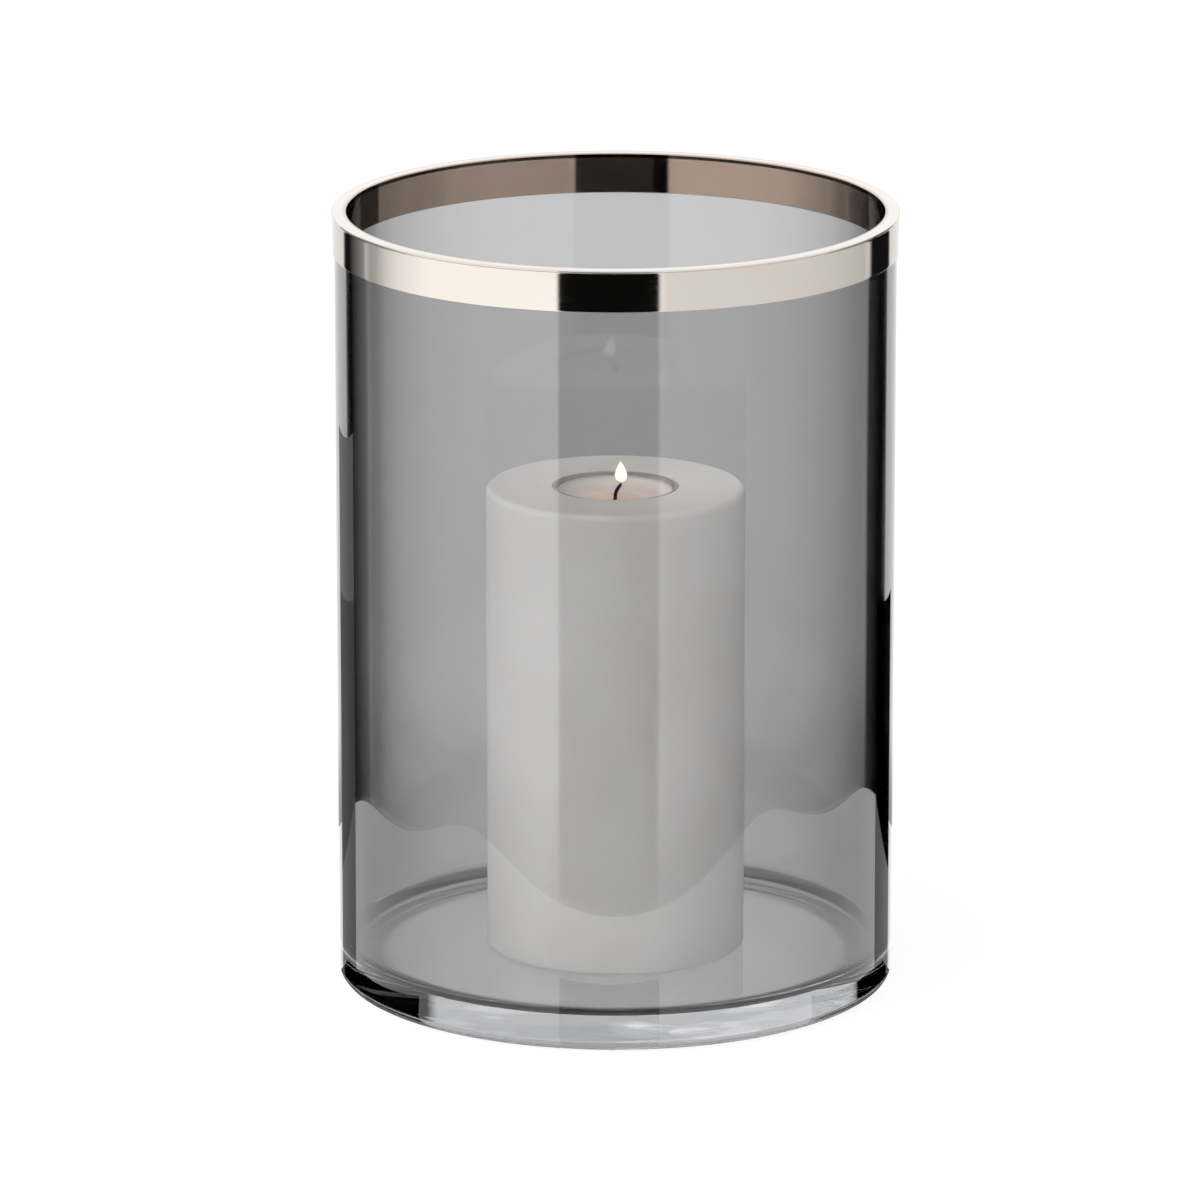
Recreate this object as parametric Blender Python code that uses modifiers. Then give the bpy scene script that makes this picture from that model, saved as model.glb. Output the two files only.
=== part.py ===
"""Hurricane candle lantern: a smoked glass cylinder with a heavy base and a metal rim band,
holding a pillar candle shell that takes a tealight.

Metres, +Z up. The origin is the centre of the foot ring, on the surface that the lantern stands on.
"""

import math

import bpy
from mathutils import Vector

# Driving dimensions.
HEIGHT = 0.250
OVERALL_RADIUS = 0.0895
CLEARANCE = 0.0003

# Glass vessel.
GLASS_RADIUS = 0.0886
GLASS_WALL = 0.0032
BASE_THICKNESS = 0.0105
FLOOR_FILLET = 0.0055
HEEL_RADIUS = 0.0040
FOOT_INNER_RADIUS = 0.0800
PUNT_DEPTH = 0.0014
LIP_ROUNDING = 0.0008
GLASS_INNER_RADIUS = GLASS_RADIUS - GLASS_WALL

# Rim band: a U-section ring pressed from sheet, seated on the glass lip.
BAND_SHEET = 0.0003
BAND_HEIGHT = 0.0130
BAND_OUTER_RADIUS = GLASS_RADIUS + CLEARANCE + BAND_SHEET
BAND_INNER_RADIUS = GLASS_INNER_RADIUS - CLEARANCE - BAND_SHEET
BAND_BEAD_HEIGHT = 0.0007
BAND_INNER_ROUNDING = 0.0006
LIP_TOP = HEIGHT - BAND_SHEET - CLEARANCE

# Candle shell: a hard wax pillar with a recess for a tealight.
CANDLE_RADIUS = 0.0412
CANDLE_HEIGHT = 0.1500
CANDLE_SHOULDER = 0.0020
CANDLE_FOOT_ROUNDING = 0.0010
CANDLE_BOTTOM = BASE_THICKNESS + CLEARANCE
CANDLE_TOP = CANDLE_BOTTOM + CANDLE_HEIGHT

# Tealight: its rim lies level with the top of the candle.
CUP_HEIGHT = 0.0155
CUP_SHEET = 0.0003
CUP_BASE_RADIUS = 0.0184
CUP_MOUTH_RADIUS = 0.0190
CUP_HEEL_RADIUS = 0.0012
CUP_BEAD_RADIUS = 0.0004
CUP_RIM_RADIUS = 0.0197
CUP_TOP = CANDLE_TOP
CUP_BOTTOM = CUP_TOP - CUP_HEIGHT
CUP_FLOOR = CUP_BOTTOM + CUP_SHEET
RECESS_RADIUS = CUP_RIM_RADIUS + CLEARANCE
RECESS_FLOOR = CUP_BOTTOM - CLEARANCE

# Wick, its sustainer and the wax round them.
WAX_DROP = 0.0038
WAX_TOP = CUP_TOP - WAX_DROP
WAX_BOTTOM = CUP_FLOOR + CLEARANCE
WICK_RADIUS = 0.0007
WICK_BOTTOM = CUP_FLOOR + 0.0004
WICK_LEAN = math.radians(34)
WICK_BEND_RADIUS = 0.0040
WICK_TIP_LENGTH = 0.0024
SUSTAINER_SHEET = 0.0003
SUSTAINER_RADIUS = 0.0065
NECK_HEIGHT = 0.0048
NECK_INNER_RADIUS = WICK_RADIUS + CLEARANCE
NECK_OUTER_RADIUS = NECK_INNER_RADIUS + SUSTAINER_SHEET
SUSTAINER_BOTTOM = CUP_FLOOR + CLEARANCE
SUSTAINER_TOP = SUSTAINER_BOTTOM + SUSTAINER_SHEET
NECK_TOP = SUSTAINER_TOP + NECK_HEIGHT

# Facets round a turn. The glass and the rings on it share theirs, so their gaps stay even.
GLASS_SEGMENTS = 72
CANDLE_SEGMENTS = 64
TEALIGHT_SEGMENTS = 48
SMALL_SEGMENTS = 24
MERGE_DISTANCE = 0.00001


def clear_scene():
    """Empties the file, so that the script also runs from the text editor."""
    for obj in list(bpy.data.objects):
        bpy.data.objects.remove(obj, do_unlink=True)


def new_collection(name):
    """A collection for the lantern's pieces."""
    collection = bpy.data.collections.new(name)
    bpy.context.scene.collection.children.link(collection)
    return collection


def new_material(name, colour, roughness, metallic=0.0, transmission=0.0, ior=1.5):
    """A Principled material."""
    material = bpy.data.materials.new(name)
    material.use_nodes = True
    shader = material.node_tree.nodes["Principled BSDF"]
    shader.inputs["Base Color"].default_value = (*colour, 1.0)
    shader.inputs["Roughness"].default_value = roughness
    shader.inputs["Metallic"].default_value = metallic
    shader.inputs["Transmission Weight"].default_value = transmission
    shader.inputs["IOR"].default_value = ior
    return material


def arc(centre_r, centre_z, radius, start_deg, end_deg, steps):
    """Points along an arc in the profile plane, both ends included. 0 degrees points away from the axis."""
    span = math.radians(end_deg - start_deg)
    start = math.radians(start_deg)
    return [
        (
            centre_r + radius * math.cos(start + span * i / steps),
            centre_z + radius * math.sin(start + span * i / steps),
        )
        for i in range(steps + 1)
    ]


def turned(name, profile, closed, segments, material, collection):
    """A body of revolution: a profile of (radius, height) points, turned about Z by a Screw modifier.

    A closed profile makes a ring. An open one starts and ends on the axis.
    """
    mesh = bpy.data.meshes.new(name)
    points = [(radius, 0.0, height) for radius, height in profile]
    edges = [(i, i + 1) for i in range(len(points) - 1)]
    if closed:
        edges.append((len(points) - 1, 0))
    mesh.from_pydata(points, edges, [])
    mesh.materials.append(material)
    obj = bpy.data.objects.new(name, mesh)
    collection.objects.link(obj)
    screw = obj.modifiers.new("Turn", "SCREW")
    screw.axis = "Z"
    screw.angle = math.tau
    screw.steps = segments
    screw.render_steps = segments
    screw.use_merge_vertices = True
    screw.merge_threshold = MERGE_DISTANCE
    screw.use_smooth_shade = True
    return obj


def glass_vessel(material, collection):
    """The cylinder with its heavy base: a filleted floor inside, a rounded heel and a shallow punt below."""
    lip_outer = GLASS_RADIUS - LIP_ROUNDING
    lip_inner = GLASS_INNER_RADIUS + LIP_ROUNDING
    fillet_centre = (GLASS_INNER_RADIUS - FLOOR_FILLET, BASE_THICKNESS + FLOOR_FILLET)
    profile = [(0.0, BASE_THICKNESS)]
    profile += arc(*fillet_centre, FLOOR_FILLET, -90, 0, 7)
    profile += arc(lip_inner, LIP_TOP - LIP_ROUNDING, LIP_ROUNDING, 180, 90, 2)
    profile += arc(lip_outer, LIP_TOP - LIP_ROUNDING, LIP_ROUNDING, 90, 0, 2)
    profile += arc(GLASS_RADIUS - HEEL_RADIUS, HEEL_RADIUS, HEEL_RADIUS, 0, -90, 4)
    profile += arc(FOOT_INNER_RADIUS - PUNT_DEPTH, 0.0, PUNT_DEPTH, 0, 90, 3)
    profile += [(0.0, PUNT_DEPTH)]
    return turned("glass_vessel", profile, False, GLASS_SEGMENTS, material, collection)


def rim_band(material, collection):
    """The U-section ring over the lip: a skirt on each side and a flat top with a proud outer bead."""
    bottom = HEIGHT - BAND_HEIGHT
    outer_face = BAND_OUTER_RADIUS - BAND_SHEET
    inner_face = BAND_INNER_RADIUS + BAND_SHEET
    bead_half = BAND_BEAD_HEIGHT / 2
    profile = arc(OVERALL_RADIUS - bead_half, HEIGHT - bead_half, bead_half, 90, -90, 4)
    profile += [
        (BAND_OUTER_RADIUS, HEIGHT - BAND_BEAD_HEIGHT),
        (BAND_OUTER_RADIUS, bottom),
        (outer_face, bottom),
        (outer_face, HEIGHT - BAND_SHEET),
        (inner_face, HEIGHT - BAND_SHEET),
        (inner_face, bottom),
        (BAND_INNER_RADIUS, bottom),
    ]
    profile += arc(
        BAND_INNER_RADIUS + BAND_INNER_ROUNDING,
        HEIGHT - BAND_INNER_ROUNDING,
        BAND_INNER_ROUNDING,
        180,
        90,
        3,
    )
    return turned("rim_band", profile, True, GLASS_SEGMENTS, material, collection)


def candle_shell(material, collection):
    """The wax pillar, with a rounded shoulder and a blind recess in its top."""
    shoulder = CANDLE_RADIUS - CANDLE_SHOULDER
    foot = CANDLE_RADIUS - CANDLE_FOOT_ROUNDING
    profile = [(0.0, RECESS_FLOOR), (RECESS_RADIUS, RECESS_FLOOR), (RECESS_RADIUS, CANDLE_TOP)]
    profile += arc(shoulder, CANDLE_TOP - CANDLE_SHOULDER, CANDLE_SHOULDER, 90, 0, 4)
    profile += arc(foot, CANDLE_BOTTOM + CANDLE_FOOT_ROUNDING, CANDLE_FOOT_ROUNDING, 0, -90, 2)
    profile += [(0.0, CANDLE_BOTTOM)]
    return turned("candle_shell", profile, False, CANDLE_SEGMENTS, material, collection)


def tealight_cup(material, collection):
    """The pressed aluminium cup, drawn slightly wider towards a rolled rim."""
    inner_heel = CUP_HEEL_RADIUS - CUP_SHEET
    heel_centre = (CUP_BASE_RADIUS - CUP_HEEL_RADIUS, CUP_BOTTOM + CUP_HEEL_RADIUS)
    bead_centre = (CUP_RIM_RADIUS - CUP_BEAD_RADIUS, CUP_TOP - CUP_BEAD_RADIUS)
    profile = [(0.0, CUP_FLOOR)]
    profile += arc(*heel_centre, inner_heel, -90, 0, 2)
    profile += [(CUP_MOUTH_RADIUS - CUP_SHEET, CUP_TOP - CUP_BEAD_RADIUS)]
    profile += arc(*bead_centre, CUP_BEAD_RADIUS, 120, -90, 5)
    profile += [(CUP_MOUTH_RADIUS, CUP_TOP - 2 * CUP_BEAD_RADIUS)]
    profile += arc(*heel_centre, CUP_HEEL_RADIUS, 0, -90, 2)
    profile += [(0.0, CUP_BOTTOM)]
    return turned("tealight_cup", profile, False, TEALIGHT_SEGMENTS, material, collection)


def cup_inner_radius(height):
    """The inside radius of the cup's tapered wall at a height."""
    share = (height - CUP_BOTTOM) / CUP_HEIGHT
    taper = CUP_MOUTH_RADIUS - CUP_BASE_RADIUS
    return CUP_BASE_RADIUS - CUP_SHEET + taper * share


def tealight_wax(material, collection):
    """The wax fill, hollow underneath for the sustainer and bored through for the wick."""
    bore = WICK_RADIUS + CLEARANCE
    neck_bore = NECK_OUTER_RADIUS + CLEARANCE
    flange_bore = SUSTAINER_RADIUS + CLEARANCE
    neck_ceiling = NECK_TOP + CLEARANCE
    flange_ceiling = SUSTAINER_TOP + CLEARANCE
    bottom_edge = WAX_BOTTOM + CUP_HEEL_RADIUS
    profile = [
        (cup_inner_radius(WAX_TOP) - CLEARANCE, WAX_TOP),
        (cup_inner_radius(bottom_edge) - CLEARANCE, bottom_edge),
        (cup_inner_radius(WAX_BOTTOM) - CLEARANCE - CUP_HEEL_RADIUS, WAX_BOTTOM),
        (flange_bore, WAX_BOTTOM),
        (flange_bore, flange_ceiling),
        (neck_bore, flange_ceiling),
        (neck_bore, neck_ceiling),
        (bore, neck_ceiling),
        (bore, WAX_TOP),
    ]
    return turned("tealight_wax", profile, True, TEALIGHT_SEGMENTS, material, collection)


def wick_sustainer(material, collection):
    """The tinned tab on the cup's floor, with the neck that grips the wick."""
    profile = [
        (NECK_OUTER_RADIUS, NECK_TOP),
        (NECK_OUTER_RADIUS, SUSTAINER_TOP),
        (SUSTAINER_RADIUS, SUSTAINER_TOP),
        (SUSTAINER_RADIUS, SUSTAINER_BOTTOM),
        (NECK_INNER_RADIUS, SUSTAINER_BOTTOM),
        (NECK_INNER_RADIUS, NECK_TOP),
    ]
    return turned("wick_sustainer", profile, True, SMALL_SEGMENTS, material, collection)


def wick_points():
    """The wick's centre line: straight up through the wax, then over in an arc to a leaning tip."""
    points = [Vector((0.0, 0.0, WICK_BOTTOM)), Vector((0.0, 0.0, NECK_TOP))]
    bend_start = Vector((0.0, 0.0, WAX_TOP + CLEARANCE))
    steps = 6
    for i in range(steps + 1):
        angle = WICK_LEAN * i / steps
        across = WICK_BEND_RADIUS * (1.0 - math.cos(angle))
        along = WICK_BEND_RADIUS * math.sin(angle)
        points.append(bend_start + Vector((across, 0.0, along)))
    tip_direction = Vector((math.sin(WICK_LEAN), 0.0, math.cos(WICK_LEAN)))
    points.append(points[-1] + WICK_TIP_LENGTH * tip_direction)
    return points


def wick(material, collection):
    """The braided wick, as a tube along its centre line."""
    points = wick_points()
    curve = bpy.data.curves.new("wick", "CURVE")
    curve.dimensions = "3D"
    curve.bevel_depth = WICK_RADIUS
    curve.bevel_resolution = 3
    curve.use_fill_caps = True
    spline = curve.splines.new("POLY")
    spline.points.add(len(points) - 1)
    for spline_point, point in zip(spline.points, points):
        spline_point.co = (*point, 1.0)
    curve.materials.append(material)
    obj = bpy.data.objects.new("wick", curve)
    collection.objects.link(obj)
    return obj


def hang_from(joint_name, pieces, collection):
    """Parents pieces to an empty at the foot of the first one, which marks where they lift off."""
    empty = bpy.data.objects.new(joint_name, None)
    empty.empty_display_size = CANDLE_RADIUS
    collection.objects.link(empty)
    for piece in pieces:
        piece.parent = empty
    return empty


def build_lantern():
    """Makes every piece in place. The candle lifts out of the glass, and the tealight out of the candle."""
    clear_scene()
    collection = new_collection("hurricane_candle_lantern")
    smoked_glass = new_material("smoked_glass", (0.30, 0.30, 0.31), 0.02, transmission=1.0, ior=1.52)
    platinum = new_material("platinum", (0.67, 0.64, 0.59), 0.06, metallic=1.0)
    pillar_wax = new_material("pillar_wax", (0.86, 0.85, 0.81), 0.45)
    aluminium = new_material("aluminium", (0.80, 0.80, 0.79), 0.30, metallic=1.0)
    paraffin = new_material("paraffin", (0.87, 0.83, 0.77), 0.35)
    tinned_steel = new_material("tinned_steel", (0.62, 0.62, 0.60), 0.35, metallic=1.0)
    charred_cotton = new_material("charred_cotton", (0.03, 0.025, 0.02), 0.90)

    glass_vessel(smoked_glass, collection)
    rim_band(platinum, collection)
    candle = candle_shell(pillar_wax, collection)
    tealight = [
        tealight_cup(aluminium, collection),
        tealight_wax(paraffin, collection),
        wick_sustainer(tinned_steel, collection),
        wick(charred_cotton, collection),
    ]
    candle_lift = hang_from("candle_lift", [candle], collection)
    tealight_lift = hang_from("tealight_lift", tealight, collection)
    tealight_lift.parent = candle_lift


build_lantern()
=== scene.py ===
"""Looks for the hurricane candle lantern: finely turned glass, band, candle and tealight on their
CAD bodies, a burning wick, and a white studio with soft side panels and dark gaps between them.

Metres, +Z up, in the CAD frame.
"""

import math

import bpy
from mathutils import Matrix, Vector, noise


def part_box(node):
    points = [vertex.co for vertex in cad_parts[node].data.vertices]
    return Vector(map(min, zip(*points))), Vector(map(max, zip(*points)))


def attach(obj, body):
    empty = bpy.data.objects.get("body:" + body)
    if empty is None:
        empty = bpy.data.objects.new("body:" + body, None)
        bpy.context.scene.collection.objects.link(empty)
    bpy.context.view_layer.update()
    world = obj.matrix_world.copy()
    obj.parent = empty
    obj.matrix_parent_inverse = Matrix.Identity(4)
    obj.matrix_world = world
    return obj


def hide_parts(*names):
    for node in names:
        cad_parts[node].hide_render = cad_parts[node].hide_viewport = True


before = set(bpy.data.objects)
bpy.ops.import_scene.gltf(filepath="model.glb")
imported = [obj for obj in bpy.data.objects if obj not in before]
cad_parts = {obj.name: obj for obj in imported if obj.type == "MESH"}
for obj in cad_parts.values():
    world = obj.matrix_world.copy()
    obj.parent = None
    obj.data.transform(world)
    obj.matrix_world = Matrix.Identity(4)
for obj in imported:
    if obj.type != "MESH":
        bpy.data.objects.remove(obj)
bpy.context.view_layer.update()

# Sizes read from the frame.
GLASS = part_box("glass_vessel")
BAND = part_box("rim_band")
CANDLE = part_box("candle_shell")
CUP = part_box("tealight_cup")
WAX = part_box("tealight_wax")
HEIGHT = BAND[1].z
GLASS_RADIUS = GLASS[1].x
LIP_TOP = GLASS[1].z
BEAD_RADIUS = BAND[1].x
CANDLE_RADIUS = CANDLE[1].x
CANDLE_BOTTOM = CANDLE[0].z
CANDLE_TOP = CANDLE[1].z
CUP_RADIUS = CUP[1].x
CUP_BOTTOM = CUP[0].z
CUP_TOP = CUP[1].z
WAX_RADIUS = WAX[1].x
WAX_TOP = WAX[1].z

# Sizes that the boxes don't give: the same as the CAD model's.
GAP = 0.0003
WALL = 0.0032
BASE_THICKNESS = 0.0105
FLOOR_FILLET = 0.0055
HEEL_RADIUS = 0.0040
FOOT_INNER_RADIUS = 0.0800
PUNT_DEPTH = 0.0014
LIP_ROUNDING = 0.0009
SHEET = 0.0003
BAND_BEAD_HEIGHT = 0.0007
CANDLE_SHOULDER = 0.0020
CANDLE_FOOT_ROUNDING = 0.0010
RECESS_RADIUS = CUP_RADIUS + GAP
RECESS_FLOOR = CUP_BOTTOM - GAP
CUP_MOUTH_RADIUS = CUP_RADIUS - 0.0007
CUP_BASE_RADIUS = CUP_RADIUS - 0.0013
CUP_HEEL_RADIUS = 0.0012
CUP_BEAD_RADIUS = 0.0004
WICK_RADIUS = 0.00062
WICK_LEAN = math.radians(34)
WICK_BEND_RADIUS = 0.0040
WICK_TIP_LENGTH = 0.0022
FLAME_HEIGHT = 0.0068
FLAME_RADIUS = 0.0019
SMOKE_DEPTH = 0.45

GLASS_INNER_RADIUS = GLASS_RADIUS - WALL
TURN_STEPS = 256
SMALL_TURN_STEPS = 128
ON_AXIS = 1e-7

# How far from a corner a straight run's first point is held, and the most of the run that may be.
HOLD = 0.0004
MOST_HOLD = 0.25

BLACK = (0.0, 0.0, 0.0, 1.0)
WHITE = (1.0, 1.0, 1.0, 1.0)


# ---------------------------------------------------------------- shapes


def arc(centre_r, centre_z, radius, start_deg, end_deg, steps):
    """Points along an arc in the profile plane, both ends included.

    0 degrees points away from the axis.
    """
    points = []
    for i in range(steps + 1):
        angle = math.radians(start_deg + (end_deg - start_deg) * i / steps)
        points.append((centre_r + radius * math.cos(angle), centre_z + radius * math.sin(angle)))
    return points


def run(start, end, steps):
    """Points between two profile points, both left out.

    One is held close to each end, so that the shading between them stays flat.
    """
    length = math.hypot(end[0] - start[0], end[1] - start[1])
    hold = min(HOLD / length, MOST_HOLD)
    shares = [hold]
    shares += [hold + (1.0 - 2.0 * hold) * i / steps for i in range(1, steps)]
    shares.append(1.0 - hold)
    return [(start[0] + (end[0] - start[0]) * s, start[1] + (end[1] - start[1]) * s) for s in shares]


def outline(*stretches):
    """Joins stretches of profile points with held straight runs.

    A number between two stretches is its run's steps.
    """
    points = list(stretches[0])
    steps = 1
    for stretch in stretches[1:]:
        if isinstance(stretch, int):
            steps = stretch
            continue
        points += run(points[-1], stretch[0], steps)
        points += stretch
        steps = 1
    return points


def smooth_piece(name, mesh, material):
    """Puts a mesh into the scene as a smooth-shaded object with one material."""
    mesh.shade_smooth()
    mesh.materials.append(material)
    piece = bpy.data.objects.new(name, mesh)
    bpy.context.scene.collection.objects.link(piece)
    return piece


def lathe(name, profile, closed, steps, material, body, shape=None):
    """Turns a profile of (radius, height) points about Z into a piece that rides on a body.

    shape may move each point: (radius, angle, height) -> Vector.
    """
    place = shape or (lambda r, a, z: Vector((r * math.cos(a), r * math.sin(a), z)))
    verts = []
    rings = []
    for radius, height in profile:
        if radius < ON_AXIS:
            rings.append([len(verts)] * steps)
            verts.append(place(0.0, 0.0, height))
            continue
        rings.append(list(range(len(verts), len(verts) + steps)))
        verts += [place(radius, math.tau * i / steps, height) for i in range(steps)]
    faces = []
    count = len(rings)
    for j in range(count if closed else count - 1):
        low, high = rings[j], rings[(j + 1) % count]
        for i in range(steps):
            k = (i + 1) % steps
            corners = dict.fromkeys((low[i], high[i], high[k], low[k]))
            if len(corners) > 2:
                faces.append(tuple(corners))
    mesh = bpy.data.meshes.new(name)
    mesh.from_pydata(verts, [], faces)
    mesh.validate()
    piece = smooth_piece(name, mesh, material)
    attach(piece, body)
    return piece


# ---------------------------------------------------------------- material helpers


class Graph:
    """A material or world node tree, with short calls to add and link nodes."""

    def __init__(self, owner):
        owner.use_nodes = True
        self.tree = owner.node_tree
        self.nodes = self.tree.nodes

    def add(self, kind, **settings):
        """A new node, with its properties set by name."""
        node = self.nodes.new(kind)
        for key, value in settings.items():
            setattr(node, key, value)
        return node

    def feed(self, socket, value):
        """Links an output to an input socket, or sets the input's value."""
        if isinstance(value, bpy.types.NodeSocket):
            self.tree.links.new(value, socket)
        else:
            socket.default_value = value

    def math(self, operation, *values):
        """A Math node's output."""
        node = self.add("ShaderNodeMath", operation=operation)
        for socket, value in zip(node.inputs, values):
            self.feed(socket, value)
        return node.outputs[0]

    def step(self, value, low, high, out_low=0.0, out_high=1.0):
        """A value mapped smoothly from one range to another, and clamped."""
        node = self.add("ShaderNodeMapRange", interpolation_type="SMOOTHSTEP")
        for key, given in (("Value", value), ("From Min", low), ("From Max", high)):
            self.feed(node.inputs[key], given)
        node.inputs["To Min"].default_value = out_low
        node.inputs["To Max"].default_value = out_high
        return node.outputs["Result"]

    def mix(self, factor, first, second):
        """Two colours mixed."""
        node = self.add("ShaderNodeMix", data_type="RGBA")
        self.feed(node.inputs["Factor"], factor)
        self.feed(node.inputs["A"], first)
        self.feed(node.inputs["B"], second)
        return node.outputs["Result"]

    def ramp(self, factor, stops):
        """A colour ramp: stops are (position, grey or colour)."""
        node = self.add("ShaderNodeValToRGB")
        elements = node.color_ramp.elements
        while len(elements) < len(stops):
            elements.new(0.5)
        for element, (position, colour) in zip(elements, stops):
            element.position = position
            element.color = (*colour, 1.0) if isinstance(colour, tuple) else (colour, colour, colour, 1.0)
        self.feed(node.inputs["Fac"], factor)
        return node.outputs["Color"]

    def position(self, scale=(1.0, 1.0, 1.0)):
        """The object's own coordinates in metres, stretched by a scale."""
        source = self.add("ShaderNodeTexCoord").outputs["Object"]
        mapping = self.add("ShaderNodeMapping")
        mapping.inputs["Scale"].default_value = scale
        self.feed(mapping.inputs["Vector"], source)
        return mapping.outputs["Vector"]

    def noise(self, vector, scale, detail=3.0, roughness=0.5):
        """A noise pattern's value."""
        node = self.add("ShaderNodeTexNoise")
        self.feed(node.inputs["Vector"], vector)
        node.inputs["Scale"].default_value = scale
        node.inputs["Detail"].default_value = detail
        node.inputs["Roughness"].default_value = roughness
        return node.outputs["Fac"]

    def split(self, vector):
        """A vector's X, Y and Z."""
        parts = self.add("ShaderNodeSeparateXYZ")
        self.feed(parts.inputs[0], vector)
        return parts.outputs

    def coordinates(self):
        """The object's own X, Y and Z in metres."""
        return self.split(self.add("ShaderNodeTexCoord").outputs["Object"])

    def radius(self):
        """The distance from the lantern's axis."""
        x, y, _ = self.coordinates()
        squares = self.math("ADD", self.math("POWER", x, 2.0), self.math("POWER", y, 2.0))
        return self.math("SQRT", squares)

    def height(self):
        """The height above the foot ring."""
        return self.coordinates()[2]

    def bump(self, height, strength, distance):
        """A bumped normal."""
        node = self.add("ShaderNodeBump")
        node.inputs["Strength"].default_value = strength
        node.inputs["Distance"].default_value = distance
        self.feed(node.inputs["Height"], height)
        return node.outputs["Normal"]


def finish_material(name, **plain):
    """A new material's graph and its Principled shader, with the plain inputs set by name."""
    material = bpy.data.materials.new(name)
    graph = Graph(material)
    shader = graph.nodes["Principled BSDF"]
    for key, value in plain.items():
        shader.inputs[key.replace("_", " ")].default_value = value
    return material, graph, shader.inputs


# ---------------------------------------------------------------- materials


def smoked_glass_material():
    """Glass under a grey smoke coat on the wall, deeper where it is seen aslant.

    The floor and the underside are clear. Painted shade, near black, darkens the corner between floor and
    wall and the foot where it stands on the table.
    """
    material, g, shader = finish_material(
        "smoked_glass", IOR=1.5, Transmission_Weight=1.0, Coat_Weight=0.35, Coat_IOR=1.5, Coat_Roughness=0.0
    )
    smoke = (0.55, 0.55, 0.555, 1.0)
    clear = (0.68, 0.685, 0.685, 1.0)
    # Painted shade: near black, for the corner between floor and wall and for the foot on the table.
    painted_shade = (0.04, 0.04, 0.04, 1.0)
    denser = (0.38, 0.38, 0.40, 1.0)
    base_edge = (0.36, 0.365, 0.375, 1.0)
    most_aslant = 0.12
    depth_growth = 1.5
    base_top = (0.0130, 0.0140)
    coat_skin = (GLASS_INNER_RADIUS - 0.0010, GLASS_INNER_RADIUS - 0.0004)
    corner_radii = (0.0800, 0.0822)
    foot_radii = (0.0715, 0.0760)
    foot_heights = (0.0030, 0.0050)

    streaks = g.noise(g.position((1.0, 1.0, 0.12)), scale=60.0, detail=2.0)
    haze = g.mix(g.step(streaks, 0.35, 0.75, out_high=0.06), smoke, denser)
    aslant = g.add("ShaderNodeLayerWeight").outputs["Facing"]
    facing = g.math("MAXIMUM", g.math("SUBTRACT", 1.0, aslant), most_aslant)
    depth = g.math("SUBTRACT", g.math("DIVIDE", 1.0, facing), 1.0)
    let_through = g.math("POWER", SMOKE_DEPTH, g.math("POWER", depth, depth_growth))
    wall = g.mix(let_through, BLACK, haze)
    radius = g.radius()
    height = g.height()
    wall = g.mix(g.step(height, *base_top), base_edge, wall)
    coated = g.step(radius, *coat_skin)
    # The corner and foot masks say where the near-black painted shade goes.
    corner = g.step(radius, *corner_radii)
    foot = g.math("MULTIPLY", g.step(radius, *foot_radii), g.step(height, *foot_heights, 1.0, 0.0))
    floor = g.mix(g.math("MAXIMUM", corner, foot), clear, painted_shade)
    g.feed(shader["Base Color"], g.mix(coated, floor, wall))
    smears = g.noise(g.position((1.0, 1.0, 0.5)), scale=38.0, detail=4.0)
    g.feed(shader["Roughness"], g.step(smears, 0.45, 0.85, out_high=0.018))
    return material


def band_material():
    """Warm white polished metal, browner on the faces that look inwards, with faint polishing lines.

    A painted shadow line darkens the fold just under the inner edge.
    """
    material, g, shader = finish_material("polished_band", Metallic=1.0, IOR=1.5)
    outer = (0.60, 0.555, 0.51, 1.0)
    inner = (0.46, 0.355, 0.285, 1.0)
    tarnished = (0.50, 0.42, 0.36, 1.0)
    # Painted shade: how far the fold under the inner edge is darkened.
    fold_shade = 0.92
    inner_face = (GLASS_INNER_RADIUS - 0.0002, GLASS_INNER_RADIUS + 0.0010)
    fold_bottom = (HEIGHT - 0.0016, HEIGHT - 0.0012)
    fold_top = (HEIGHT - 0.0005, HEIGHT - 0.0003)

    inside = g.step(g.radius(), *inner_face, 1.0, 0.0)
    height = g.height()
    # Painted shade: a dark line in the fold just under the inner edge.
    folded = g.math("MULTIPLY", g.step(height, *fold_bottom), g.step(height, *fold_top, 1.0, 0.0))
    inner = g.mix(g.math("MULTIPLY", folded, fold_shade), inner, BLACK)
    colour = g.mix(inside, outer, inner)
    tarnish = g.noise(g.position((1.0, 1.0, 2.0)), scale=45.0)
    g.feed(shader["Base Color"], g.mix(g.step(tarnish, 0.4, 0.8, out_high=0.10), colour, tarnished))
    lines = g.noise(g.position((4.0, 4.0, 900.0)), scale=6.0, detail=2.0)
    g.feed(shader["Roughness"], g.step(lines, 0.3, 0.8, 0.03, 0.09))
    g.feed(shader["Normal"], g.bump(lines, strength=0.05, distance=0.00002))
    return material


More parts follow.
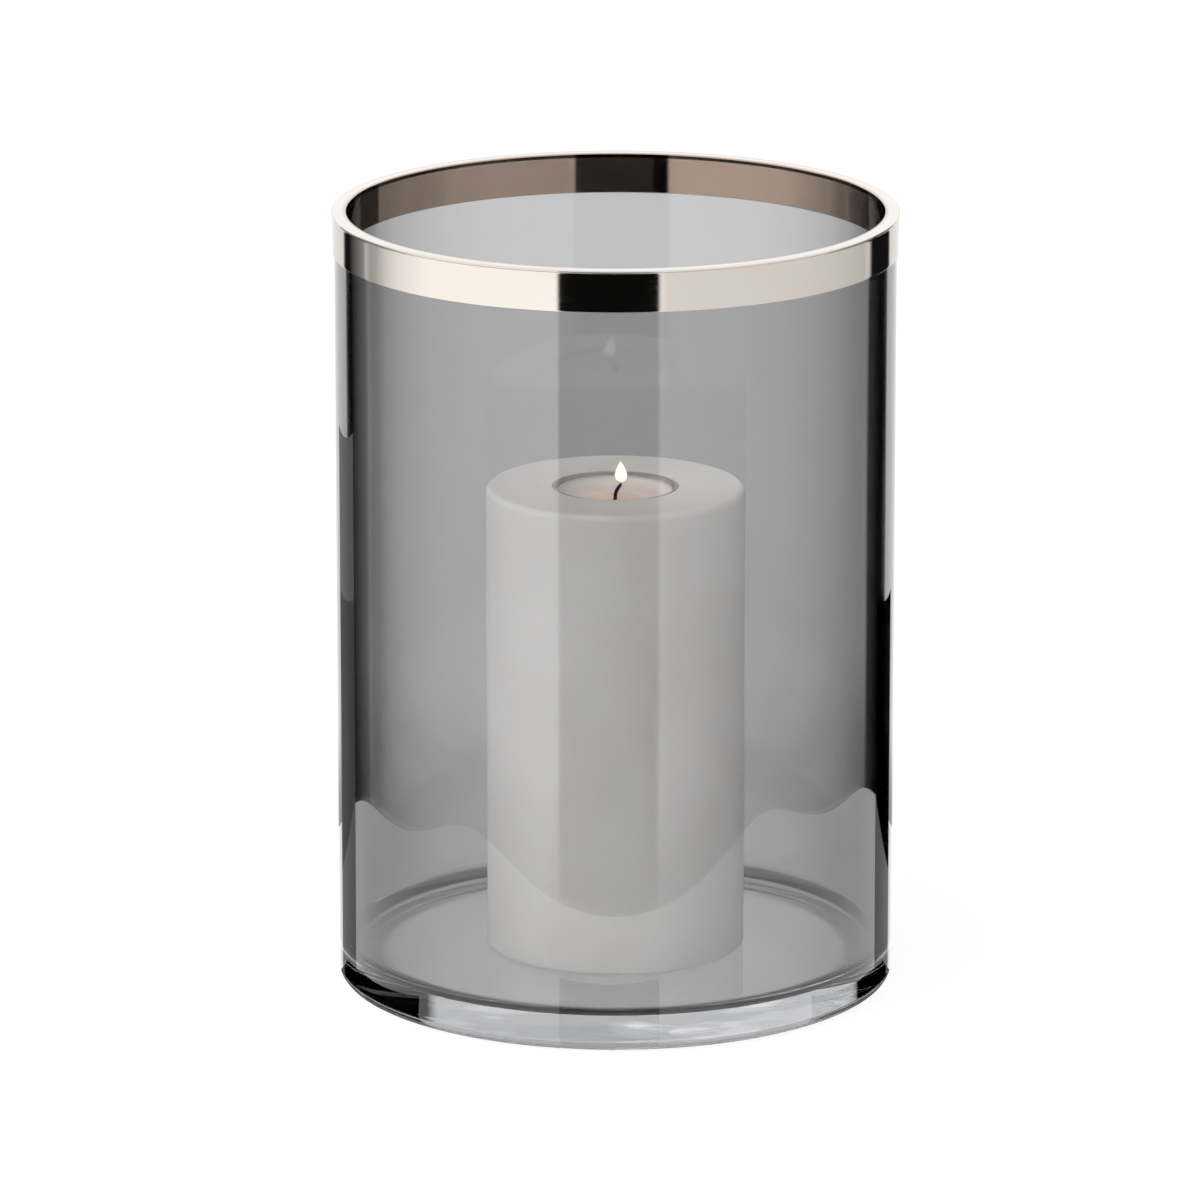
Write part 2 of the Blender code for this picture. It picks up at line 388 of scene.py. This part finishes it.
def pillar_wax_material():
    """Hard off-white wax with a soft mottle and the faint drag lines of its mould."""
    material, g, shader = finish_material(
        "pillar_wax", IOR=1.44, Subsurface_Weight=0.35, Subsurface_Scale=0.004
    )
    shader["Subsurface Radius"].default_value = (1.0, 0.85, 0.65)
    duller = (0.85, 0.83, 0.785, 1.0)
    paler = (0.90, 0.89, 0.86, 1.0)
    dragged = (0.82, 0.80, 0.735, 1.0)
    mottle = g.noise(g.position((1.0, 1.0, 0.6)), scale=26.0, detail=4.0, roughness=0.6)
    drag = g.noise(g.position((3.0, 3.0, 60.0)), scale=10.0, detail=2.0)
    colour = g.mix(g.step(mottle, 0.35, 0.7), duller, paler)
    g.feed(shader["Base Color"], g.mix(g.step(drag, 0.5, 0.8, out_high=0.15), colour, dragged))
    g.feed(shader["Roughness"], g.step(mottle, 0.3, 0.7, 0.55, 0.72))
    shader["Specular IOR Level"].default_value = 0.3
    grain = g.noise(g.position(), scale=900.0)
    relief = g.math("ADD", g.math("MULTIPLY", drag, 0.6), g.math("MULTIPLY", grain, 0.4))
    g.feed(shader["Normal"], g.bump(relief, strength=0.25, distance=0.00008))
    return material


def cup_material():
    """Thin bright aluminium with drawn lines up its wall."""
    material, g, shader = finish_material("pressed_aluminium", Metallic=1.0)
    darker = (0.62, 0.59, 0.56, 1.0)
    brighter = (0.72, 0.69, 0.66, 1.0)
    drawn = g.noise(g.position((1.0, 1.0, 0.05)), scale=1500.0, detail=2.0)
    rings = g.noise(g.position((0.2, 0.2, 30.0)), scale=60.0, detail=2.0)
    g.feed(shader["Base Color"], g.mix(g.step(drawn, 0.3, 0.7), darker, brighter))
    g.feed(shader["Roughness"], g.step(rings, 0.3, 0.7, 0.22, 0.38))
    g.feed(shader["Normal"], g.bump(drawn, strength=0.3, distance=0.00003))
    return material


def paraffin_material():
    """Warm translucent wax: a clear molten pool round the wick, set and duller towards the cup."""
    material, g, shader = finish_material(
        "paraffin", IOR=1.44, Subsurface_Weight=0.6, Subsurface_Scale=0.005, Emission_Strength=0.12
    )
    shader["Subsurface Radius"].default_value = (1.0, 0.75, 0.5)
    set_colour = (0.88, 0.80, 0.76, 1.0)
    molten_colour = (0.91, 0.80, 0.72, 1.0)
    set_gloss = (0.42, 0.42, 0.42, 1.0)
    molten_gloss = (0.06, 0.06, 0.06, 1.0)
    # Painted light: the wax glows of itself, warm near the wick, in place of the flame's light in it.
    far_glow = (0.10, 0.05, 0.03, 1.0)
    near_glow = (1.0, 0.62, 0.34, 1.0)
    ragged_edge = 0.004
    pool_edge = (0.008, 0.013)
    glow_reach = (0.0, 0.016)

    mottle = g.noise(g.position(), scale=160.0)
    radius = g.radius()
    pool = g.step(g.math("ADD", radius, g.math("MULTIPLY", mottle, ragged_edge)), *pool_edge, 1.0, 0.0)
    g.feed(shader["Base Color"], g.mix(pool, set_colour, molten_colour))
    g.feed(shader["Roughness"], g.mix(pool, set_gloss, molten_gloss))
    # Painted light: the glow is strongest at the wick and fades towards the cup.
    glow = g.step(radius, *glow_reach, 1.0, 0.0)
    g.feed(shader["Emission Color"], g.mix(glow, far_glow, near_glow))
    g.feed(shader["Normal"], g.bump(mottle, strength=0.15, distance=0.0001))
    return material


def wick_material():
    """Charred braid, with an ember at the very tip."""
    material, g, shader = finish_material("charred_wick", Roughness=0.9, Emission_Strength=1.0)
    soot = (0.006, 0.005, 0.005, 1.0)
    ash = (0.035, 0.028, 0.024, 1.0)
    ember = (0.9, 0.25, 0.05, 1.0)
    ember_heights = (WAX_TOP + 0.0050, WAX_TOP + 0.0058)
    fibre = g.noise(g.position((1.0, 1.0, 0.4)), scale=4000.0)
    g.feed(shader["Base Color"], g.mix(fibre, soot, ash))
    g.feed(shader["Emission Color"], g.mix(g.step(g.height(), *ember_heights), BLACK, ember))
    g.feed(shader["Normal"], g.bump(fibre, strength=0.6, distance=0.0001))
    return material


def sustainer_material():
    """Dull tinned steel."""
    material, g, shader = finish_material("tinned_steel", Metallic=1.0)
    dull_tin = (0.50, 0.50, 0.49, 1.0)
    bright_tin = (0.68, 0.68, 0.66, 1.0)
    flow = g.noise(g.position(), scale=500.0)
    g.feed(shader["Base Color"], g.mix(flow, dull_tin, bright_tin))
    g.feed(shader["Roughness"], g.step(flow, 0.3, 0.7, 0.28, 0.45))
    return material


def flame_material(bottom):
    """A small bright flame: warm at its foot, nearly white above."""
    material, g, shader = finish_material("flame", Roughness=1.0, Emission_Strength=2.6)
    shader["Base Color"].default_value = BLACK
    rise = g.math("DIVIDE", g.math("SUBTRACT", g.height(), bottom), FLAME_HEIGHT)
    ripple = g.noise(g.position(), scale=500.0, detail=2.0)
    flicker = g.math("ADD", rise, g.math("MULTIPLY", ripple, 0.1))
    stops = [
        (0.0, (0.80, 0.50, 0.30)),
        (0.2, (1.0, 0.80, 0.58)),
        (0.45, (1.0, 0.95, 0.86)),
        (1.0, (1.0, 0.90, 0.74)),
    ]
    g.feed(shader["Emission Color"], g.ramp(flicker, stops))
    return material


# ---------------------------------------------------------------- pieces


def glass_vessel():
    """The cylinder, its wall very slightly uneven as blown glass is."""
    inner_lip = arc(GLASS_INNER_RADIUS + LIP_ROUNDING, LIP_TOP - LIP_ROUNDING, LIP_ROUNDING, 180, 90, 6)
    outer_lip = arc(GLASS_RADIUS - LIP_ROUNDING, LIP_TOP - LIP_ROUNDING, LIP_ROUNDING, 90, 0, 6)
    fillet_centre = (GLASS_INNER_RADIUS - FLOOR_FILLET, BASE_THICKNESS + FLOOR_FILLET)
    profile = outline(
        [(0.0, BASE_THICKNESS)],
        4,
        arc(*fillet_centre, FLOOR_FILLET, -90, 0, 20),
        36,
        inner_lip,
        outer_lip,
        40,
        arc(GLASS_RADIUS - HEEL_RADIUS, HEEL_RADIUS, HEEL_RADIUS, 0, -90, 10),
        2,
        arc(FOOT_INNER_RADIUS - PUNT_DEPTH, 0.0, PUNT_DEPTH, 0, 90, 8),
        4,
        [(0.0, PUNT_DEPTH)],
    )

    even_below = 0.02
    fade_above_base = 0.03
    fade_below_lip = 0.02
    waviness = 0.00010

    def uneven(radius, angle, height):
        from_base = min(max((height - even_below) / fade_above_base, 0.0), 1.0)
        from_lip = min(max((LIP_TOP - fade_below_lip - height) / fade_below_lip, 0.0), 1.0)
        seed = Vector((math.cos(angle) * 2.2, math.sin(angle) * 2.2, height * 14.0))
        inner = 1.0 if radius < GLASS_RADIUS - 0.5 * WALL else 0.5
        wave = noise.noise(seed + Vector((0.0, 0.0, 9.0 * inner)))
        moved = radius + waviness * (from_base * from_lip) * inner * wave
        return Vector((moved * math.cos(angle), moved * math.sin(angle), height))

    piece = lathe("glass_cylinder", profile, False, TURN_STEPS, smoked_glass_material(), "glass", uneven)
    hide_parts("glass_vessel")


def rim_band():
    """The U-section ring: skirts, a flat top with a proud outer bead and softened inner edge."""
    bottom = BAND[0].z
    outer = GLASS_RADIUS + GAP + SHEET
    inner = GLASS_INNER_RADIUS - GAP - SHEET
    bead = BAND_BEAD_HEIGHT / 2
    hem = 0.5 * SHEET
    crease = 0.0002
    inner_edge = 0.0003
    profile = outline(
        arc(BEAD_RADIUS - bead, HEIGHT - bead, bead, 90, -80, 8),
        arc(outer + crease, HEIGHT - BAND_BEAD_HEIGHT - crease, crease, 100, 180, 3),
        4,
        arc(outer - hem, bottom + hem, hem, 0, -180, 8),
        [(outer - SHEET, HEIGHT - SHEET)],
        2,
        [(inner + SHEET, HEIGHT - SHEET)],
        arc(inner + hem, bottom + hem, hem, 0, -180, 8),
        4,
        arc(inner + inner_edge, HEIGHT - inner_edge, inner_edge, 180, 90, 6),
        2,
    )
    piece = lathe("metal_rim_band", profile, True, TURN_STEPS, band_material(), "glass")
    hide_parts("rim_band")


def candle():
    """The wax pillar, its surface slightly wavy and its edges softened."""
    shoulder = CANDLE_RADIUS - CANDLE_SHOULDER
    foot = CANDLE_RADIUS - CANDLE_FOOT_ROUNDING
    lip = 0.0003
    profile = outline(
        [(0.0, RECESS_FLOOR)],
        2,
        [(RECESS_RADIUS, RECESS_FLOOR)],
        2,
        arc(RECESS_RADIUS + lip, CANDLE_TOP - lip, lip, 180, 90, 4),
        6,
        arc(shoulder, CANDLE_TOP - CANDLE_SHOULDER, CANDLE_SHOULDER, 90, 0, 12),
        60,
        arc(foot, CANDLE_BOTTOM + CANDLE_FOOT_ROUNDING, CANDLE_FOOT_ROUNDING, 0, -90, 6),
        4,
        [(0.0, CANDLE_BOTTOM)],
    )

    even_rim = 0.004
    fade = 0.01
    waviness = 0.00012

    def poured(radius, angle, height):
        wave = noise.noise(Vector((math.cos(angle) * 3.0, math.sin(angle) * 3.0, height * 30.0)))
        outer = min(max((radius - RECESS_RADIUS - even_rim) / fade, 0.0), 1.0)
        moved = radius - waviness * outer * (1.0 + wave)
        return Vector((moved * math.cos(angle), moved * math.sin(angle), height))

    piece = lathe("wax_pillar", profile, False, TURN_STEPS, pillar_wax_material(), "candle", poured)
    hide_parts("candle_shell")


def tealight_cup():
    """The aluminium cup with its rolled rim."""
    heel = (CUP_BASE_RADIUS - CUP_HEEL_RADIUS, CUP_BOTTOM + CUP_HEEL_RADIUS)
    bead = (CUP_RADIUS - CUP_BEAD_RADIUS, CUP_TOP - CUP_BEAD_RADIUS)
    profile = outline(
        [(0.0, CUP_BOTTOM + SHEET)],
        2,
        arc(*heel, CUP_HEEL_RADIUS - SHEET, -90, 0, 5),
        4,
        arc(*bead, CUP_BEAD_RADIUS, 150, -90, 12),
        [(CUP_MOUTH_RADIUS, CUP_TOP - 2 * CUP_BEAD_RADIUS)],
        4,
        arc(*heel, CUP_HEEL_RADIUS, 0, -90, 6),
        2,
        [(0.0, CUP_BOTTOM)],
    )
    piece = lathe("aluminium_cup", profile, False, SMALL_TURN_STEPS, cup_material(), "tealight")
    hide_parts("tealight_cup")


def tealight_wax():
    """The wax fill: a bowl that climbs the cup's wall, with a shallow molten pool round the wick."""
    bore = WICK_RADIUS + 0.0004
    bottom = WAX[0].z
    pool_radius = 0.011
    pool_depth = 0.00045
    below_top = 0.00030
    climb_height = 0.0033
    collar_radius = 0.0016
    collar_top = bottom + 0.0055
    plate_radius = 0.0068
    plate_top = bottom + 0.0006
    heel_radius = WAX_RADIUS - 0.0020
    wall_radius = WAX_RADIUS - 0.0006
    wall_foot = bottom + 0.0014
    surface = []
    steps = 28
    for i in range(steps + 1):
        r = bore + (WAX_RADIUS - 0.0002 - bore) * i / steps
        dip = pool_depth * max(0.0, 1.0 - (r / pool_radius) ** 4)
        climb = climb_height * (r / WAX_RADIUS) ** 9
        surface.append((r, WAX_TOP - below_top - dip + climb))
    surface.reverse()
    profile = outline(surface, 2, [(bore, collar_top)])
    profile += [(collar_radius, collar_top), (collar_radius, plate_top), (plate_radius, plate_top)]
    profile += [(plate_radius, bottom), (heel_radius, bottom), (wall_radius, wall_foot)]
    piece = lathe("tealight_fill", profile, True, SMALL_TURN_STEPS, paraffin_material(), "tealight")
    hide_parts("tealight_wax")


def wick_sustainer():
    """The plate and collar keep their CAD shape, with a finish of their own."""
    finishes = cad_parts["wick_sustainer"].data.materials
    finishes.clear()
    finishes.append(sustainer_material())


def wick_path():
    """The wick's centre line above the wax's floor: straight, then bent over to its leaning tip."""
    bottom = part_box("wick")[0].z
    bend = WAX_TOP + 0.0003
    points = [Vector((0.0, 0.0, bottom + (bend - bottom) * i / 12)) for i in range(12)]
    for i in range(13):
        angle = WICK_LEAN * i / 12
        across = WICK_BEND_RADIUS * (1.0 - math.cos(angle))
        points.append(Vector((across, 0.0, bend + WICK_BEND_RADIUS * math.sin(angle))))
    direction = Vector((math.sin(WICK_LEAN), 0.0, math.cos(WICK_LEAN)))
    last = points[-1]
    points += [last + direction * WICK_TIP_LENGTH * i / 6 for i in range(1, 7)]
    return points


def wick():
    """The braided wick: a tube with three strands twisted round it, thinner and ragged at its burnt tip."""
    path = wick_path()
    sides = 30
    verts = []
    for k, point in enumerate(path):
        ahead = path[min(k + 1, len(path) - 1)]
        behind = path[max(k - 1, 0)]
        along = (ahead - behind).normalized()
        side = Vector((0.0, 1.0, 0.0))
        up = along.cross(side)
        taper = 1.0 - 0.45 * max(0.0, (k - (len(path) - 5)) / 4)
        for i in range(sides):
            angle = math.tau * i / sides
            strand = abs(math.sin(1.5 * (angle + 0.55 * k)))
            radius = WICK_RADIUS * taper * (0.84 + 0.16 * strand)
            verts.append(point + (side * math.cos(angle) + up * math.sin(angle)) * radius)
    faces = []
    for k in range(len(path) - 1):
        for i in range(sides):
            j = (i + 1) % sides
            faces.append((k * sides + i, k * sides + j, (k + 1) * sides + j, (k + 1) * sides + i))
    faces.append(tuple(reversed(range(sides))))
    faces.append(tuple(range(len(verts) - sides, len(verts))))
    mesh = bpy.data.meshes.new("braided_wick")
    mesh.from_pydata(verts, [], faces)
    piece = smooth_piece("braided_wick", mesh, wick_material())
    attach(piece, "tealight")
    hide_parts("wick")


def flame():
    """The flame: a leaf-shaped drop over the wick's tip."""
    tip = wick_path()[-1]
    bottom = tip.z + 0.0004
    steps = 28
    profile = []
    for i in range(steps + 1):
        share = i / steps
        width = math.sin(math.pi * share ** 0.62) ** 0.85
        profile.append((FLAME_RADIUS * width if 0 < i < steps else 0.0, bottom + FLAME_HEIGHT * share))
    profile.reverse()

    def leaning(radius, angle, height):
        share = (height - bottom) / FLAME_HEIGHT
        return Vector((
            tip.x + radius * math.cos(angle) - 0.0003 * share,
            tip.y + radius * math.sin(angle),
            height,
        ))

    piece = lathe("candle_flame", profile, False, 64, flame_material(bottom), "tealight", leaning)
    light = bpy.data.lights.new("flame_light", "POINT")
    light.energy = 0.0012
    light.color = (1.0, 0.62, 0.32)
    light.shadow_soft_size = 0.002
    lamp = bpy.data.objects.new("flame_light", light)
    lamp.location = (tip.x, tip.y, bottom + FLAME_HEIGHT * 1.3)
    lamp.visible_camera = False
    lamp.visible_glossy = False
    lamp.visible_transmission = False
    bpy.context.scene.collection.objects.link(lamp)
    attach(lamp, "tealight")


# ---------------------------------------------------------------- studio


# The stage's sheets lie just under the foot, one under another. The front shadow overlaps the ring, and
# lies at the flags' height.
FLOOR_Z = -0.0004
FOOT_SHADOW_Z = -0.0005
FLAG_Z = -0.0006
TABLE_Z = -0.0008
FLOOR_REACH = 20.0
TABLE_SHEET_REACH = 0.9

# The table's white top as the glass mirrors it: its middle, half sizes, brightness and dim surround.
TABLE_MIDDLE = (0.0105, -0.036)
TABLE_HALF_SIZE = (0.2975, 0.202)
TABLE_BRIGHTNESS = 1.2
SURROUND_OPACITY = 0.5
SURROUND_REACH = 1.7

# Each side's flags lie between two lines that run out from beside the foot. Here the right side's are
# given, and the left side's mirror them. A span says where a flag starts and ends along each line.
NEAR_START = (0.0829, -0.0318)
NEAR_WAY = (0.669, 0.743)
FAR_START = (0.0872, -0.0155)
FAR_WAY = (0.342, 0.940)
CLOSE_SPANS = ((0.0, 0.24), (0.0, 0.13))
MIDDLE_SPANS = ((0.24, 0.5), (0.13, 0.5))
DISTANT_SPANS = ((0.5, 0.76), (0.5, 0.76))

# Shadows on the table round the foot: beside it (the right one, mirrored for the left), before it, and
# the ring under it.
SIDE_SHADOW = ((0.0628, -0.0628), (0.0978, -0.0640), (0.1073, -0.0150), (0.1033, 0.0073), (0.0885, 0.0))
FRONT_SHADOW = ((-0.0177, -0.0870), (-0.0489, -0.1606), (0.0386, -0.1638), (0.0139, -0.0877))
SHADOW_RING_INNER_RADIUS = 0.060
SHADOW_RING_STEPS = 64

# Brightness round the horizon, as (degrees, level). 0 degrees is -Y, the side that the camera is on, and
# the degrees grow towards +X. Glass and band mirror these panels and gaps.
SOFT = 0.5
PANELS = (
    (-145 - SOFT, 0.50),
    (-145 + SOFT, 0.004),
    (-138, 0.004),
    (-128, 0.12),
    (-124, 0.19),
    (-122.5, 0.36),
    (-120.5, 0.36),
    (-119, 0.25),
    (-114, 0.30),
    (-107, 0.49),
    (-98, 0.64),
    (-82, 0.79),
    (-23 - SOFT, 0.80),
    (-23 + SOFT, 0.002),
    (18 - SOFT, 0.002),
    (18 + SOFT, 0.82),
    (20, 0.56),
    (80, 0.52),
    (100, 0.47),
    (121, 0.38),
    (124, 0.45),
    (126, 0.45),
    (127, 0.004),
    (148 - SOFT, 0.004),
    (148 + SOFT, 0.50),
)

# The same above the panels, where rays that come up through the base look.
UPPER_PANELS = (
    (-130, 0.66),
    (-128, 0.0),
    (-104, 0.0),
    (-100, 0.66),
    (100, 0.54),
    (104, 0.0),
    (148, 0.0),
    (150, 0.66),
)
OVERHEAD = (0.66, 0.66, 0.66, 1.0)
PANEL_GAIN = 2.0

# How steeply a ray rises where one layer of the studio gives way to the next.
UPPER_FROM = (0.06, 0.20)
OVERHEAD_FROM = (0.36, 0.50)

# The soft key light that the diffuse surfaces get, from the left of the camera.
KEY_DEGREES = -35
KEY_BRIGHTNESS = 7.5
FILL_BRIGHTNESS = 0.8
LESS_FROM_ABOVE = -0.78


def plain_material(name, grey, strength):
    """A dull finish with a little white light of its own, for the stage."""
    material, _, shader = finish_material(name, Roughness=1.0, Emission_Strength=strength)
    shader["Specular IOR Level"].default_value = 0.0
    shader["Base Color"].default_value = (grey, grey, grey, 1.0)
    shader["Emission Color"].default_value = WHITE
    return material


def open_to_reflections(material):
    """Lets rays that a polished surface has reflected pass through the floor, to the table and panels."""
    g = Graph(material)
    blend = g.add("ShaderNodeMixShader")
    bounced = g.math("GREATER_THAN", g.add("ShaderNodeLightPath").outputs["Glossy Depth"], 0.5)
    g.feed(blend.inputs[0], bounced)
    g.feed(blend.inputs[1], g.nodes["Principled BSDF"].outputs[0])
    g.feed(blend.inputs[2], g.add("ShaderNodeBsdfTransparent").outputs[0])
    g.feed(g.nodes["Material Output"].inputs["Surface"], blend.outputs[0])


def table_material():
    """The table as polished surfaces mirror it: a white rounded top, and a dim surround that fades out."""
    material = bpy.data.materials.new("table_paper")
    g = Graph(material)
    x, y, _ = g.coordinates()
    across = g.math("ABSOLUTE", g.math("DIVIDE", g.math("SUBTRACT", x, TABLE_MIDDLE[0]), TABLE_HALF_SIZE[0]))
    along = g.math("ABSOLUTE", g.math("DIVIDE", g.math("SUBTRACT", y, TABLE_MIDDLE[1]), TABLE_HALF_SIZE[1]))
    out = g.math("ADD", g.math("POWER", across, 4.0), g.math("POWER", along, 4.0))
    out = g.math("POWER", out, 0.25)
    on_table = g.math("LESS_THAN", out, 1.0)
    surround = g.step(out, 1.0, SURROUND_REACH, SURROUND_OPACITY, 0.0)
    emission = g.add("ShaderNodeEmission")
    g.feed(emission.inputs["Color"], g.mix(on_table, BLACK, WHITE))
    emission.inputs["Strength"].default_value = TABLE_BRIGHTNESS
    blend = g.add("ShaderNodeMixShader")
    g.feed(blend.inputs[0], g.math("MAXIMUM", on_table, surround))
    g.feed(blend.inputs[1], g.add("ShaderNodeBsdfTransparent").outputs[0])
    g.feed(blend.inputs[2], emission.outputs[0])
    g.feed(g.nodes["Material Output"].inputs["Surface"], blend.outputs[0])
    return material


def stage_sheet(name, points, z, material, faces=None):
    """A flat sheet of the stage: one outline, or several faces between its points."""
    mesh = bpy.data.meshes.new(name)
    mesh.from_pydata([(x, y, z) for x, y in points], [], faces or [tuple(range(len(points)))])
    mesh.materials.append(material)
    plane = bpy.data.objects.new(name, mesh)
    bpy.context.scene.collection.objects.link(plane)
    return plane


def square(reach):
    """A square's corners round the axis."""
    return [(-reach, -reach), (reach, -reach), (reach, reach), (-reach, reach)]


def along_line(side, start, way, distance):
    """A point on one of the lines that a side's flags lie between. side is 1 for right, -1 for left."""
    return (side * start[0] + side * way[0] * distance, start[1] + way[1] * distance)


def side_sheets(side, word, flags, black):
    """One side's flags, each with its own finish, and the shadow beside the foot."""
    sheets = []
    for k, ((near_span, far_span), finish) in enumerate(flags):
        corners = [along_line(side, NEAR_START, NEAR_WAY, d) for d in near_span]
        corners += [along_line(side, FAR_START, FAR_WAY, d) for d in reversed(far_span)]
        sheets.append(stage_sheet(f"flag_{word}_{k + 1}", corners, FLAG_Z, finish))
    shadow = [(side * x, y) for x, y in SIDE_SHADOW]
    sheets.append(stage_sheet(f"foot_shadow_{word}", shadow, FOOT_SHADOW_Z, black))
    return sheets


def shadow_ring(black):
    """The dark ring on the table under the foot."""
    count = SHADOW_RING_STEPS
    around = [math.tau * i / count for i in range(count)]
    radii = (SHADOW_RING_INNER_RADIUS, GLASS_RADIUS)
    circles = [(r * math.cos(a), r * math.sin(a)) for r in radii for a in around]
    quads = [(i, (i + 1) % count, count + (i + 1) % count, count + i) for i in range(count)]
    return stage_sheet("foot_shadow_ring", circles, FOOT_SHADOW_Z, black, quads)


def tabletop():
    """The pale floor, and the table, flags and shadows that only mirroring and clear surfaces see."""
    floor_finish = plain_material("floor_paper", 0.10, 0.88)
    open_to_reflections(floor_finish)
    stage_sheet("floor", square(FLOOR_REACH), FLOOR_Z, floor_finish)
    sheets = [stage_sheet("table_top", square(TABLE_SHEET_REACH), TABLE_Z, table_material())]
    black = plain_material("black_flag", 0.0, 0.0)
    dim = plain_material("dim_flag", 0.0, 0.30)
    dusky = plain_material("dusky_flag", 0.0, 0.16)
    left_flags = ((CLOSE_SPANS, dim), (MIDDLE_SPANS, dusky), (DISTANT_SPANS, dim))
    right_flags = ((CLOSE_SPANS, dim), (MIDDLE_SPANS, black))
    sheets += side_sheets(-1.0, "left", left_flags, black)
    sheets += side_sheets(1.0, "right", right_flags, black)
    sheets.append(stage_sheet("foot_shadow_front", FRONT_SHADOW, FLAG_Z, dim))
    sheets.append(shadow_ring(black))
    for sheet in sheets:
        sheet.visible_camera = False
        sheet.visible_diffuse = False
        sheet.visible_shadow = False


def horizon(g, turn, levels):
    """Brightness round the horizon from (degrees, level) pairs."""
    return g.ramp(turn, [(0.5 + degrees / 360.0, level) for degrees, level in levels])


def mirrored_light(g, turn, rise):
    """What glass and metal see: panels with dark gaps between them, and a plain soft light overhead."""
    upper = g.mix(g.step(rise, *UPPER_FROM), horizon(g, turn, PANELS), horizon(g, turn, UPPER_PANELS))
    whole = g.mix(g.step(rise, *OVERHEAD_FROM), upper, OVERHEAD)
    gained = g.add("ShaderNodeVectorMath", operation="SCALE")
    g.feed(gained.inputs[0], whole)
    gained.inputs["Scale"].default_value = PANEL_GAIN
    return gained.outputs[0]


def key_light(g, x, y, z):
    """What diffuse surfaces get: a broad soft key with less of it straight from above."""
    turn = math.radians(KEY_DEGREES)
    toward = g.math("ADD", g.math("MULTIPLY", x, math.sin(turn)), g.math("MULTIPLY", y, -math.cos(turn)))
    key = g.math("POWER", g.math("MULTIPLY_ADD", toward, 0.5, 0.5), 2.0)
    level = g.math("MULTIPLY_ADD", key, KEY_BRIGHTNESS, FILL_BRIGHTNESS)
    rise = g.math("MULTIPLY_ADD", g.math("MULTIPLY", z, z), LESS_FROM_ABOVE, 1.0)
    light = g.math("MULTIPLY", level, rise)
    grey = g.add("ShaderNodeCombineColor")
    for socket in grey.inputs[:3]:
        g.feed(socket, light)
    return grey.outputs[0]


def studio_world():
    """A white backdrop, mirrored panels and a soft key light."""
    world = bpy.data.worlds.new("studio")
    bpy.context.scene.world = world
    g = Graph(world)
    x, y, z = g.split(g.add("ShaderNodeTexCoord").outputs["Generated"])
    azimuth = g.math("ARCTAN2", x, g.math("MULTIPLY", y, -1.0))
    turn = g.math("ADD", g.math("DIVIDE", azimuth, math.tau), 0.5)
    path = g.add("ShaderNodeLightPath")
    seen = g.mix(path.outputs["Is Camera Ray"], mirrored_light(g, turn, z), WHITE)
    is_diffuse = g.math("GREATER_THAN", path.outputs["Diffuse Depth"], 0.5)
    background = g.nodes["Background"]
    g.feed(background.inputs["Color"], g.mix(is_diffuse, seen, key_light(g, x, y, z)))
    background.inputs["Strength"].default_value = 1.0


def camera():
    """A long lens, slightly above the rim, looking down at the lantern's middle."""
    distance = 2.758
    height = 0.851
    pitch = math.radians(14.79)
    focal_px = 8966.0
    frame_px = 1200.0
    offset_px = 16.0
    data = bpy.data.cameras.new("camera")
    data.sensor_width = 36.0
    data.lens = focal_px / frame_px * data.sensor_width
    data.clip_start = 0.1
    data.clip_end = 100.0
    view = bpy.data.objects.new("camera", data)
    view.location = (0.0, -distance, height)
    view.rotation_euler = (math.pi / 2 - pitch, 0.0, math.atan(offset_px / focal_px))
    bpy.context.scene.collection.objects.link(view)
    bpy.context.scene.camera = view


def rendering_limits():
    """Colours as they are, and enough bounces for glass within glass."""
    scene = bpy.context.scene
    scene.view_settings.view_transform = "Standard"
    scene.cycles.max_bounces = 24
    scene.cycles.transmission_bounces = 20
    scene.cycles.glossy_bounces = 8
    scene.cycles.diffuse_bounces = 4
    scene.cycles.transparent_max_bounces = 8


camera()
tabletop()
studio_world()
rendering_limits()
glass_vessel()
rim_band()
candle()
tealight_cup()
tealight_wax()
wick()
flame()
wick_sustainer()
